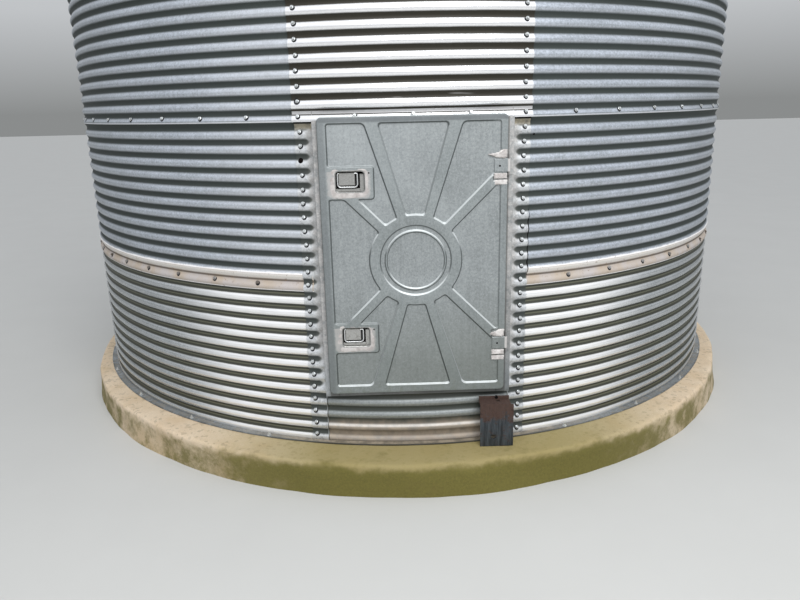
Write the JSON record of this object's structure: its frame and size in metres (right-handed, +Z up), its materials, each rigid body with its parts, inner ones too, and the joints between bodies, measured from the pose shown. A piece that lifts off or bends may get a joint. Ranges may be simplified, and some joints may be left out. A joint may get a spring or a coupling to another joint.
{
  "type": "corrugated steel grain silo",
  "caption": "Small round farm silo of corrugated galvanised steel on a concrete pad, with a conical roof and a hinged walk-in door that has pull-ring latches.",
  "frame": {"origin": "middle of the pad's underside, on the silo's axis", "axes": "+Z up along the silo's axis; the door faces -Y, its hinges at +X"},
  "size_m": [4.7228, 4.9646, 4.7595],
  "materials": {
    "zinc_weathered": "dull weathered galvanised sheet with fine vertical streaks",
    "zinc_bright": "newer galvanised sheet, brighter, with soft white highlights",
    "roof_zinc": "dull galvanised roof sheet",
    "frame_zinc": "galvanised frame with smears of pale sealant",
    "door_zinc": "pressed galvanised door, grey-green with rain streaks",
    "hardware": "zinc-plated, satin",
    "rusty_steel": "bare steel with blue-grey mill scale and red-brown rust",
    "concrete": "old cast concrete, buff on top, mossy and damp on its side"
  },
  "bodies": {
    "silo": {"concrete_pad": "concrete", "base_angle_1": "zinc_weathered", "base_angle_2": "zinc_weathered", "base_angle_3": "zinc_weathered", "base_angle_4": "zinc_weathered", "ring1_sheet_1": "zinc_bright", "ring1_sheet_2": "zinc_bright", "ring1_sheet_3": "zinc_bright", "ring1_sheet_4": "zinc_bright", "ring2_sheet_1": "zinc_weathered", "ring2_sheet_2": "zinc_weathered", "ring2_sheet_3": "zinc_weathered", "ring2_sheet_4": "zinc_weathered", "ring3_sheet_1": "zinc_weathered", "ring3_sheet_2": "zinc_weathered", "ring3_sheet_3": "zinc_weathered", "ring3_sheet_4": "zinc_weathered", "ring4_sheet_1": "zinc_weathered", "ring4_sheet_2": "zinc_weathered", "ring4_sheet_3": "zinc_weathered", "ring4_sheet_4": "zinc_weathered", "header_sheet": "zinc_bright", "left_jamb": "frame_zinc", "right_jamb": "frame_zinc", "door_head": "frame_zinc", "door_sill": "frame_zinc", "sill_sheet": "zinc_weathered", "upper_hinge_pin": "hardware", "lower_hinge_pin": "hardware", "sill_bracket": "rusty_steel", "roof_panel_1": "roof_zinc", "roof_panel_2": "roof_zinc", "roof_panel_3": "roof_zinc", "roof_panel_4": "roof_zinc", "roof_panel_5": "roof_zinc", "roof_panel_6": "roof_zinc", "roof_panel_7": "roof_zinc", "roof_panel_8": "roof_zinc", "roof_panel_9": "roof_zinc", "roof_panel_10": "roof_zinc", "roof_panel_11": "roof_zinc", "roof_panel_12": "roof_zinc", "roof_panel_13": "roof_zinc", "filler_collar": "roof_zinc", "roof_lid": "roof_zinc"},
    "door": {"door_panel": "door_zinc", "upper_latch_tray": "hardware", "lower_latch_tray": "hardware", "upper_hinge_leaf": "hardware", "lower_hinge_leaf": "hardware"},
    "upper_pull": {"upper_latch_ring": "hardware"},
    "lower_pull": {"lower_latch_ring": "hardware"}
  },
  "joints": [
    {"name": "door_hinge", "type": "hinge", "parent": "silo", "child": "door", "pos_m": [0.445, -2.25619, 0.9], "axis": [0, 0, 1], "range_deg": [0, 160]},
    {"name": "upper_pull_hinge", "type": "hinge", "parent": "door", "child": "upper_pull", "pos_m": [-0.313, -2.25619, 1.5836], "axis": [-1, 0, 0], "range_deg": [0, 80]},
    {"name": "lower_pull_hinge", "type": "hinge", "parent": "door", "child": "lower_pull", "pos_m": [-0.313, -2.25619, 0.8176], "axis": [-1, 0, 0], "range_deg": [0, 80]}
  ]
}
